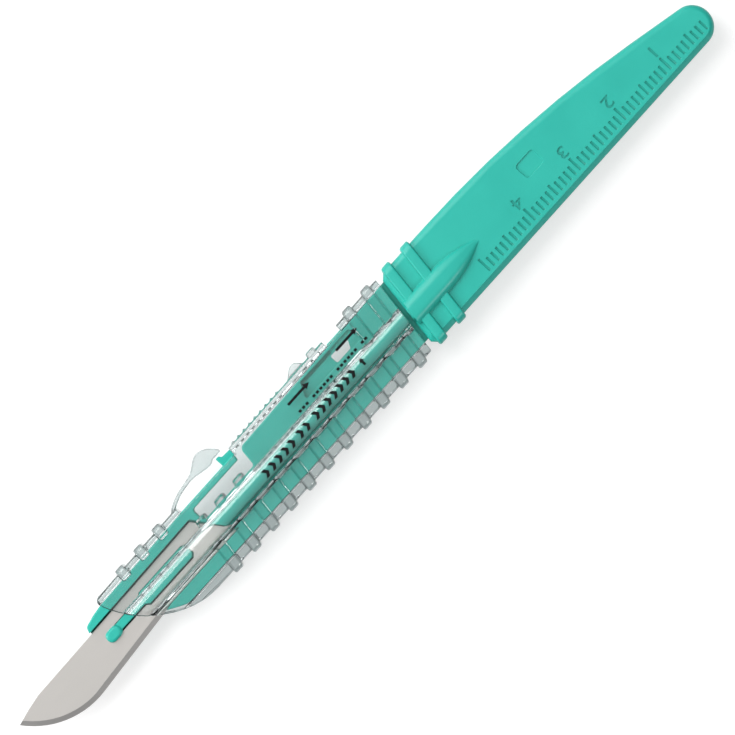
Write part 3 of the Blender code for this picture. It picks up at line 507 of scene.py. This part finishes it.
def make_clear_plastic():
    """Clear plastic that swallows a little light, lets lamp light pass to what it holds, with painted
    shade on edges.
    """
    finish, tree, output = empty_material("clear_plastic")
    shader = tree.nodes.new("ShaderNodeBsdfPrincipled")
    shader.inputs["Transmission Weight"].default_value = 1.0
    shader.inputs["IOR"].default_value = 1.57
    skin = use_group(tree, MOULDED_SKIN, Patch_Size=0.003, Grain_Size=0.0025, Grain_Depth=0.00001,
                     Roughness=0.06, Roughness_Spread=0.06)
    edge = tree.nodes.new("ShaderNodeAttribute")
    edge.attribute_name = EDGE_MASK
    tint = colour_mix(tree, first=CLEAR, second=CLEAR_EDGE_SHADE)
    depth = tree.nodes.new("ShaderNodeVolumeAbsorption")
    depth.inputs["Color"].default_value = ABSORPTION
    depth.inputs["Density"].default_value = ABSORPTION_PER_METRE
    open_way = tree.nodes.new("ShaderNodeBsdfTransparent")
    open_way.inputs["Color"].default_value = (LAMP_PASS, LAMP_PASS, LAMP_PASS, 1.0)
    rays = tree.nodes.new("ShaderNodeLightPath")
    soft_light = tree.nodes.new("ShaderNodeMixShader")
    lamp_light = tree.nodes.new("ShaderNodeMixShader")
    link_nodes(
        tree,
        (edge.outputs["Fac"], tint.inputs["Factor"]),
        (tint.outputs["Result"], shader.inputs["Base Color"]),
        (skin.outputs["Roughness"], shader.inputs["Roughness"]),
        (skin.outputs["Normal"], shader.inputs["Normal"]),
        (rays.outputs["Is Diffuse Ray"], soft_light.inputs[0]),
        (shader.outputs[0], soft_light.inputs[1]),
        (open_way.outputs[0], soft_light.inputs[2]),
        (rays.outputs["Is Shadow Ray"], lamp_light.inputs[0]),
        (soft_light.outputs[0], lamp_light.inputs[1]),
        (open_way.outputs[0], lamp_light.inputs[2]),
        (lamp_light.outputs[0], output.inputs["Surface"]),
        (depth.outputs[0], output.inputs["Volume"]),
    )
    return finish


clear_plastic = make_clear_plastic()
print("made", clear_plastic.name)

# %% [markdown]
# ### Ink
#
# The print on the guard is a matt black ink, a film a fiftieth of a millimetre thick. A texture
# could carry it, but a thin mesh of its own keeps every mark crisp from any distance. Its finish is
# a dark plastic skin with almost no gloss.

# %% Ink
INK_BLACK = (0.002, 0.002, 0.003, 1.0)

ink, tree, output = empty_material("black_ink")
shader = tree.nodes.new("ShaderNodeBsdfPrincipled")
shader.inputs["Base Color"].default_value = INK_BLACK
shader.inputs["Specular IOR Level"].default_value = 0.2
skin = use_group(tree, MOULDED_SKIN, Patch_Size=0.001, Grain_Size=0.0001, Grain_Depth=0.000002,
                 Roughness=0.65, Roughness_Spread=0.1)
link_nodes(
    tree,
    (skin.outputs["Roughness"], shader.inputs["Roughness"]),
    (skin.outputs["Normal"], shader.inputs["Normal"]),
    (shader.outputs[0], output.inputs["Surface"]),
)
print("made", ink.name)

# %% [markdown]
# ## Finished edges
#
# The CAD solids already have the right shape, but a machine-sharp corner never catches the light as
# a moulded one does. So each piece is a copy of its solid: its loose triangles are welded, flat
# areas are merged into single faces, and every sharp corner gets a tiny round. Weighted normals
# then keep the flats flat and the rounds smooth. Two helpers follow that only some pieces need: one
# fills the mask that paints a shade on the clear plastic's corners, the other cuts one mesh out of
# another.

# %% Copy a solid and round its edges
WELD = 0.000002
COPY_FLAT_DEG = 0.6


def add_piece(name, mesh):
    """A new object of the scene."""
    piece = bpy.data.objects.new(name, mesh)
    scene.collection.objects.link(piece)
    return piece


def welded_copy(node, name):
    """A copy of a CAD node whose loose triangles are merged into whole faces."""
    piece = add_piece(name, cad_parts[node].data.copy())
    piece.data.materials.clear()
    stored_normals = piece.data.attributes.get("custom_normal")
    if stored_normals:
        piece.data.attributes.remove(stored_normals)
    weld_flats(piece, COPY_FLAT_DEG)
    return piece


def weld_flats(piece, flat_deg=0.3):
    """Weld loose corners and merge neighbouring faces that lie flat."""
    bm = bmesh.new()
    bm.from_mesh(piece.data)
    bmesh.ops.remove_doubles(bm, verts=bm.verts, dist=WELD)
    bmesh.ops.dissolve_limit(bm, angle_limit=math.radians(flat_deg), verts=bm.verts, edges=bm.edges)
    bm.to_mesh(piece.data)
    bm.free()


def round_corners(piece, round_width, segments, sharp_deg=30.0, mask=None):
    """Give every sharp corner a small round, and fill a mask on them if one is named."""
    bm = bmesh.new()
    bm.from_mesh(piece.data)
    layer = None if mask is None else bm.faces.layers.float.new(mask)
    sharp = math.radians(sharp_deg)
    corners = [edge for edge in bm.edges if edge.is_manifold and edge.calc_face_angle() > sharp]
    rounds = bmesh.ops.bevel(bm, geom=corners, offset=round_width, offset_type="OFFSET",
                             segments=segments, profile=0.5, affect="EDGES", clamp_overlap=False,
                             material=-1)
    if mask is not None:
        mark_edges(bm, rounds["faces"], layer)
    bm.to_mesh(piece.data)
    print(piece.name, "has", len(bm.faces), "faces;", len(corners), "corners were rounded")
    bm.free()


def smooth(piece, sharp_deg=40.0):
    """Smooth shading that keeps flat faces flat."""
    piece.data.shade_smooth()
    piece.data.set_sharp_from_angle(angle=math.radians(sharp_deg))
    weights = piece.modifiers.new("Weighted normals", "WEIGHTED_NORMAL")
    weights.keep_sharp = True


print("corners closer than", round(WELD * 1000, 3), "mm are welded")

# %% Mark the corners of clear plastic
NARROW = 0.3 * MM
TINY = 0.2 * MM * MM
FLAT = 0.95
CORNER_SHARE = 0.45
MOUTH_REAR_X = -47.8
MOUTH_LEAN = -0.2


def mark_edges(bm, rounds, layer):
    """Fill the mask of painted shade on rounds and on narrow faces that lean or are tiny; most of all
    on the mouth.
    """
    for face in bm.faces:
        area = face.calc_area()
        narrow = 2.0 * area / face.calc_perimeter() < NARROW
        if narrow and (abs(face.normal.z) < FLAT or area < TINY):
            face[layer] = CORNER_SHARE
    mouth_rear = place(MOUTH_REAR_X, 0.0).x
    for face in rounds:
        on_mouth = face.calc_center_median().x < mouth_rear and face.normal.x < MOUTH_LEAN
        face[layer] = 1.0 if on_mouth else CORNER_SHARE


print("a corner fills its mask to", CORNER_SHARE)

# %% Cut one mesh out of another
def cut_out(piece, cutter):
    """Cut a closed mesh out of a piece and use it up."""
    change = piece.modifiers.new("Cut", "BOOLEAN")
    change.operation = "DIFFERENCE"
    change.solver = "EXACT"
    change.object = cutter
    graph = bpy.context.evaluated_depsgraph_get()
    mesh = bpy.data.meshes.new_from_object(piece.evaluated_get(graph))
    piece.modifiers.clear()
    piece.data = mesh
    bpy.data.objects.remove(cutter)


def box_cutter(low, high):
    """A plain block between two corners in millimetres on the tool."""
    bm = bmesh.new()
    bmesh.ops.create_cube(bm, size=1.0)
    size = Vector([b - a for a, b in zip(low, high)]) * MM
    middle = place(*[(a + b) / 2 for a, b in zip(low, high)])
    bmesh.ops.scale(bm, vec=size, verts=bm.verts)
    bmesh.ops.translate(bm, vec=middle, verts=bm.verts)
    mesh = bpy.data.meshes.new("cutter")
    bm.to_mesh(mesh)
    bm.free()
    return add_piece("cutter", mesh)


def lean_cutter(cutter, foot, row, column, slope):
    """Lean a cutter about a place: the axis of the row moves with the axis of the column."""
    shear = Matrix.Identity(4)
    shear[row][column] = slope
    to_foot = Matrix.Translation(foot)
    cutter.data.transform(to_foot @ shear @ to_foot.inverted())
    return cutter


print("cutters ready")

# %% [markdown]
# ## The handle
#
# Beside its edges the handle needs a few things that the solids leave out. The rule has a figure at
# every centimetre: each is a text, made a mesh, stood on the grip and cut a little way into it. Its
# corners are welded before it is stretched, because those of a bold 4 lie very close together. And
# where the blade lies in its tray, a narrow groove runs along its back and along the stud, so that
# the press fit has room; seen from above, these grooves are the thin black lines beside the green
# bars, partly by their depth and partly by a full painted shade on their floors. Two wider slots,
# one behind the guard and one in the pocket of the web, are cut in the same way from both broad
# sides. Faces could be pushed in one by one, but a cutter and a Boolean suit all of these marks
# alike, because a sunk shape with upright walls is the difference of two solids.

# %% Figures of the rule
FIGURE_HEIGHT = 1.7
FIGURE_SHARE_OF_FONT = 0.7
FIGURE_STRETCH = Vector((1.4, 1.09, 1.0))
FIGURE_DEPTH = 0.16
FIGURE_BOLD = 0.03
FIGURE_Y = -0.75
FIGURE_STEP = 10.0
GRIP_FRONT_X = 0.35
GRIP_HALF_THICK = 2.4
TAIL_HALF_THICK = 1.8


def grip_top(x):
    """Height of the flat of the grip over the middle, in millimetres."""
    along = (x - GRIP_FRONT_X) / (TAIL_X - GRIP_FRONT_X)
    return GRIP_HALF_THICK + (TAIL_HALF_THICK - GRIP_HALF_THICK) * along


def figure_cutter(figure, x):
    """A figure as a short solid that reaches a little into the grip, its foot to the blade's back."""
    text = bpy.data.curves.new("figure", "FONT")
    text.body = str(figure)
    text.size = FIGURE_HEIGHT / FIGURE_SHARE_OF_FONT * MM
    text.align_x = "CENTER"
    text.align_y = "CENTER"
    text.extrude = FIGURE_DEPTH * MM
    text.offset = FIGURE_BOLD * MM
    text.resolution_u = 2
    writing = bpy.data.objects.new("figure", text)
    scene.collection.objects.link(writing)
    graph = bpy.context.evaluated_depsgraph_get()
    mesh = bpy.data.meshes.new_from_object(writing.evaluated_get(graph))
    bpy.data.objects.remove(writing)
    cutter = add_piece("figure_cutter", mesh)
    weld_flats(cutter)
    half_turn = Matrix.Rotation(math.pi, 4, "Z")
    wide = Matrix.Diagonal(FIGURE_STRETCH).to_4x4()
    cutter.data.transform(Matrix.Translation(place(x, FIGURE_Y, grip_top(x))) @ half_turn @ wide)
    return cutter


print("figure height in mm:", round(FIGURE_HEIGHT * FIGURE_STRETCH.y, 2))

# %% Grooves beside the blade
GROOVE_FLOOR = -1.15
GROOVE_TOP = 0.1
BACK_GROOVE = ((-66.5, 3.305), (-44.3, 3.645), 0.27)
NARROW_STUD_GROOVE = ((-64.5, 0.135), (-57.8, 0.135), 0.22)
WIDE_STUD_GROOVE = ((-57.1, -0.385), (-47.8, -0.385), 0.22)


def groove_cutter(start, end, width):
    """A slanting block from one place to another, to be cut into the tray."""
    cutter = box_cutter((start[0], start[1], GROOVE_FLOOR), (end[0], start[1] + width, GROOVE_TOP))
    rise = (end[1] - start[1]) / (end[0] - start[0])
    return lean_cutter(cutter, place(*start), row=1, column=0, slope=rise)


print("groove widths in mm:", BACK_GROOVE[2], NARROW_STUD_GROOVE[2], WIDE_STUD_GROOVE[2])

# %% Slots on both broad sides
SHOULDER_SLOT = ((-0.4, -6.3, 0.7), (0.35, 6.3, 3.7))
POCKET_SLOT = ((-18.2, 4.7, 0.45), (-11.6, 5.35, 0.75))
AXIS_Y = -0.1
LEAN = math.tan(math.radians(9.5))


def slot_cutter(low, high, side):
    """A block on one broad side of the tool; its heights count outwards from the middle."""
    low_z, high_z = sorted((side * low[2], side * high[2]))
    return box_cutter((low[0], low[1], low_z), (high[0], high[1], high_z))


def shoulder_cutter(side):
    """A leaning slot across the frame, where the guard ends and the grip begins."""
    cutter = slot_cutter(*SHOULDER_SLOT, side)
    return lean_cutter(cutter, place(0.0, AXIS_Y), row=0, column=1, slope=LEAN)


print("shoulder slot leans by", round(math.degrees(math.atan(LEAN)), 1), "degrees")

# %% Handle
HANDLE_ROUND = 0.06

handle = welded_copy("handle", "handle_moulding")
for side in (-1, 1):
    cut_out(handle, shoulder_cutter(side))
weld_flats(handle)
round_corners(handle, HANDLE_ROUND * MM, segments=2)
for figure in (1, 2, 3, 4):
    cut_out(handle, figure_cutter(figure, TAIL_X - figure * FIGURE_STEP))
for groove in (BACK_GROOVE, NARROW_STUD_GROOVE, WIDE_STUD_GROOVE):
    cut_out(handle, groove_cutter(*groove))
for side in (-1, 1):
    cut_out(handle, slot_cutter(*POCKET_SLOT, side))
weld_flats(handle)
print("handle faces:", len(handle.data.polygons))

# %% [markdown]
# ### Where the green plastic gets a painted shade
#
# The mask of painted shade is filled by place. A zone is a box on the tool, and a face that looks up
# or down out of a zone is the floor of a groove, a slot, a tick or a figure, so it gets the zone's
# share of painted shade. The core bar is different: its painted shade is for the side that turns
# away from the lamp, and as the bar is round, that shade has to grow smoothly. There the share is
# worked out for each corner of a face from how far the corner lies towards the cutting edge, and
# Blender blends it over the face.

# %% Zones of the mask
GROOVE_ZONE = ((-90.0, -44.0), (-0.5, 4.0), (GROOVE_FLOOR - 0.1, -0.32))
GROOVE_SHARE = 1.0
SHOULDER_ZONE = ((-0.45, 0.3), (-10.0, 10.0), (-1.0, 1.0))
SHOULDER_SHARE = 0.6
POCKET_ZONE = ((-18.4, -11.4), (4.65, 5.4), (-0.6, 0.6))
POCKET_SHARE = 0.3
RULE_X = (12.5, 61.6)
RULE_Y = (-4.7, 0.3)
RULE_DEPTH = 0.08
RULE_SHARE = 0.3
CORE_SHARE = 0.9
CORE_REAR_X = -1.0
CORE_HALF_WIDTH = 1.75
CORE_FOOT_Z = 1.35
SHADE_START_Y = 0.5
SHADE_FULL_Y = -1.3


def in_zone(zone, x, y, z):
    """Whether a place in millimetres lies inside a zone."""
    return all(low < value < high for (low, high), value in zip(zone, (x, y, z)))


def floor_share(x, y, z):
    """How much painted shade a floor gets: full in the grooves, less in the slots, a little in the
    rule.
    """
    upright_x = x - LEAN * (y - AXIS_Y)
    rule_zone = (RULE_X, RULE_Y, (0.0, grip_top(x) - RULE_DEPTH))
    if in_zone(GROOVE_ZONE, x, y, z):
        return GROOVE_SHARE
    if in_zone(SHOULDER_ZONE, upright_x, y, z):
        return SHOULDER_SHARE
    if in_zone(POCKET_ZONE, x, y, z):
        return POCKET_SHARE
    return RULE_SHARE if in_zone(rule_zone, x, y, z) else 0.0


def is_core(x, y, z):
    """Whether a place lies on the half round core bar inside the guard."""
    return x < CORE_REAR_X and abs(y - AXIS_Y) < CORE_HALF_WIDTH and abs(z) > CORE_FOOT_Z


def core_share(y):
    """How much painted shade the core bar gets: it grows towards the cutting edge."""
    depth = (SHADE_START_Y - y) / (SHADE_START_Y - SHADE_FULL_Y)
    return CORE_SHARE * min(max(depth, 0.0), 1.0)


print("darkest share on the core bar:", core_share(SHADE_FULL_Y))

# %% Fill the mask
FLOOR_FLATNESS = 0.9

# Painted shade: floors of grooves, slots and the rule, and the core bar's side away from the lamp.
mask = handle.data.attributes.new(PAINTED_SHADE_MASK, "FLOAT", "CORNER")
painted_shade_faces = 0
for face in handle.data.polygons:
    middle = (face.center - ORIGIN) / MM
    share = floor_share(*middle) if abs(face.normal.z) > FLOOR_FLATNESS else 0.0
    painted_shade_faces += share > 0.0
    for corner in face.loop_indices:
        vert = handle.data.vertices[handle.data.loops[corner].vertex_index]
        corner_y = ((vert.co - ORIGIN) / MM).y
        mask.data[corner].value = core_share(corner_y) if is_core(*middle) else share
handle.data.materials.append(green_plastic)
smooth(handle)
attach(handle, "handle")
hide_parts("handle")
print("sunk faces:", painted_shade_faces)

# %% [markdown]
# ## The blade
#
# The blade is a thin stamped strip with a rounded belly that is ground to an edge, and a keyhole
# slot that sits on the stud. It could be drawn again from curves, but its solid already has the
# true outline, so a copy will do. An edge has to stay keen: the rounds are a hundredth of a
# millimetre, and only corners of sixty degrees and more get one. The ground band needs no mask: its
# faces are the only ones that lean, so they are found by their normals and given the second steel.

# %% Blade
BLADE_ROUND = 0.01
GROUND_LEAN = (0.02, 0.98)

blade = welded_copy("blade", "steel_blade")
round_corners(blade, BLADE_ROUND * MM, segments=1, sharp_deg=60.0)
blade.data.materials.append(steel_flat)
# The second steel is darker: a painted shade for the ground band, which leans away from the light.
blade.data.materials.append(steel_ground_painted_shade)
least, most = GROUND_LEAN
ground = [face for face in blade.data.polygons if least < abs(face.normal.z) < most]
for face in ground:
    face.material_index = 1
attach(blade, "handle")
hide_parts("blade")
print("ground faces:", len(ground), "of", len(blade.data.polygons))

# %% [markdown]
# ## The guard
#
# The guard is one clear moulding that slides along the front half of the handle. Its ribs, windows
# and lever are all in its solid, so a copy will do here too. What clear plastic needs most is
# rounder corners than the handle has: they bend the light that draws each outline. The step that
# makes them also fills the mask called edge on them, which adds a painted shade to those outlines.

# %% Guard
GUARD_ROUND = 0.14

guard = welded_copy("guard", "clear_guard")
round_corners(guard, GUARD_ROUND * MM, segments=2, sharp_deg=50.0, mask=EDGE_MASK)
guard.data.materials.append(clear_plastic)
smooth(guard)
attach(guard, "guard")
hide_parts("guard")

# %% [markdown]
# ## The print
#
# The guard carries small black marks: a row along the ridge with an arrow that shows which way to
# press, and two arrows with a fine dashed line that show how far it slides. Each mark starts as a
# flat outline. It is sliced into narrow strips, and every corner is dropped straight down onto the
# guard, so the ink follows the curve of the ridge. Then it gets a thickness, and rides on the
# guard. Thickening leaves the faces in an order that changes from run to run, so they are sorted by
# their corners at the end.

# %% Outlines of the marks
CHEVRON_WIDTH = 1.12
CHEVRON_STROKE = 0.62
MARK_HEIGHT = 1.37
DASH_HEIGHT = 0.42
HEAD_SHARE = 0.5


def chevron(x, y):
    """An arrowhead stroke that points to the tail."""
    half = MARK_HEIGHT / 2
    tip = x + CHEVRON_WIDTH
    return [
        (x, y - half),
        (x + CHEVRON_STROKE, y - half),
        (tip, y),
        (x + CHEVRON_STROKE, y + half),
        (x, y + half),
        (tip - CHEVRON_STROKE, y),
    ]


def arrow(x, y, length, shaft, head):
    """An arrow that starts at a place and points to the tail."""
    neck = x + length - min(head, length * HEAD_SHARE)
    return [
        (x, y - shaft / 2),
        (neck, y - shaft / 2),
        (neck, y - head / 2),
        (x + length, y),
        (neck, y + head / 2),
        (neck, y + shaft / 2),
        (x, y + shaft / 2),
    ]


def turned_up(outline, x, y):
    """The same outline turned a quarter about a place, so that it points to the blade's back."""
    return [(x - (b - y), y + (a - x)) for a, b in outline]


def dash(x, y, length):
    """A short bar of the fine dashed line."""
    return [(x, y), (x + length, y), (x + length, y + DASH_HEIGHT), (x, y + DASH_HEIGHT)]


print("outline of one arrowhead has", len(chevron(0.0, 0.0)), "corners")

# %% Place the marks
ROW_START_X = -31.7
ROW_SLOPE = 0.024
ROW_GROUPS = ((ROW_START_X, 5, 1.45), (-24.0, 2, 1.45), (-20.4, 7, 1.34))
PRESS_X = -9.5
PRESS_Y = -0.15
SLIDE_ARROWS = ((-21.6, 4.34), (-10.9, 4.45))
DASH_START_X = -21.3
DASH_Y = 2.2
DASH_PITCH = 0.76
DASH_LENGTH = 0.5
DASH_PLACES = 20
DASH_GROUP = 7
DASH_GAP = 3

marks = []
for group_x, count, pitch in ROW_GROUPS:
    for i in range(count):
        x = group_x + i * pitch
        marks.append(chevron(x, ROW_SLOPE * (x - ROW_START_X)))
press_arrow = arrow(PRESS_X, PRESS_Y, length=1.35, shaft=0.42, head=0.95)
marks.append(turned_up(press_arrow, PRESS_X, PRESS_Y))
for x, y in SLIDE_ARROWS:
    marks.append(arrow(x, y, length=4.6, shaft=0.4, head=1.0))
for i in range(DASH_PLACES):
    if i % DASH_GROUP != DASH_GAP:
        marks.append(dash(DASH_START_X + i * DASH_PITCH, DASH_Y, DASH_LENGTH))
print("marks:", len(marks))

# %% Ink on the guard
from mathutils.bvhtree import BVHTree

STRIP = 0.15
STRIP_COUNT = 60
STRIP_START_Y = -1.0
INK_LIFT = 0.004
INK_THICK = 0.016
RAY_START_Z = 6.0


def corner_number(face, vert_count):
    """One whole number for the corners of a face, whichever corner comes first."""
    number = 0
    for index in sorted(vert.index for vert in face.verts):
        number = number * vert_count + index
    return number


target = bmesh.new()
target.from_mesh(guard.data)
outside = BVHTree.FromBMesh(target)
target.free()

bm = bmesh.new()
for outline in marks:
    corners = [bm.verts.new(place(x, y)) for x, y in outline]
    sides = [bm.edges.new(pair) for pair in zip(corners, corners[1:] + corners[:1])]
    bmesh.ops.triangle_fill(bm, edges=sides)
for k in range(1, STRIP_COUNT):
    level = place(0.0, STRIP_START_Y + k * STRIP)
    everything = bm.verts[:] + bm.edges[:] + bm.faces[:]
    bmesh.ops.bisect_plane(bm, geom=everything, plane_co=level, plane_no=(0.0, 1.0, 0.0))
bmesh.ops.triangulate(bm, faces=bm.faces)
for vert in bm.verts:
    above = Vector((vert.co.x, vert.co.y, place(0.0, 0.0, RAY_START_Z).z))
    hit = outside.ray_cast(above, Vector((0.0, 0.0, -1.0)))[0]
    vert.co.z = hit.z + INK_LIFT * MM
bmesh.ops.recalc_face_normals(bm, faces=bm.faces)
if sum(face.normal.z for face in bm.faces) < 0.0:
    bmesh.ops.reverse_faces(bm, faces=bm.faces)
skirt = bmesh.ops.extrude_face_region(bm, geom=bm.faces[:])
lifted = [item for item in skirt["geom"] if isinstance(item, bmesh.types.BMVert)]
bmesh.ops.translate(bm, vec=Vector((0.0, 0.0, INK_THICK * MM)), verts=lifted)
bmesh.ops.recalc_face_normals(bm, faces=bm.faces)
bm.verts.index_update()
bm.faces.sort(key=lambda face: corner_number(face, len(bm.verts)))
mesh = bpy.data.meshes.new("guard_print")
bm.to_mesh(mesh)
open_edges = sum(1 for edge in bm.edges if not edge.is_manifold)
bm.free()
guard_print = add_piece("guard_print", mesh)
guard_print.data.materials.append(ink)
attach(guard_print, "guard")
print("print faces:", len(mesh.polygons), "open edges:", open_edges)
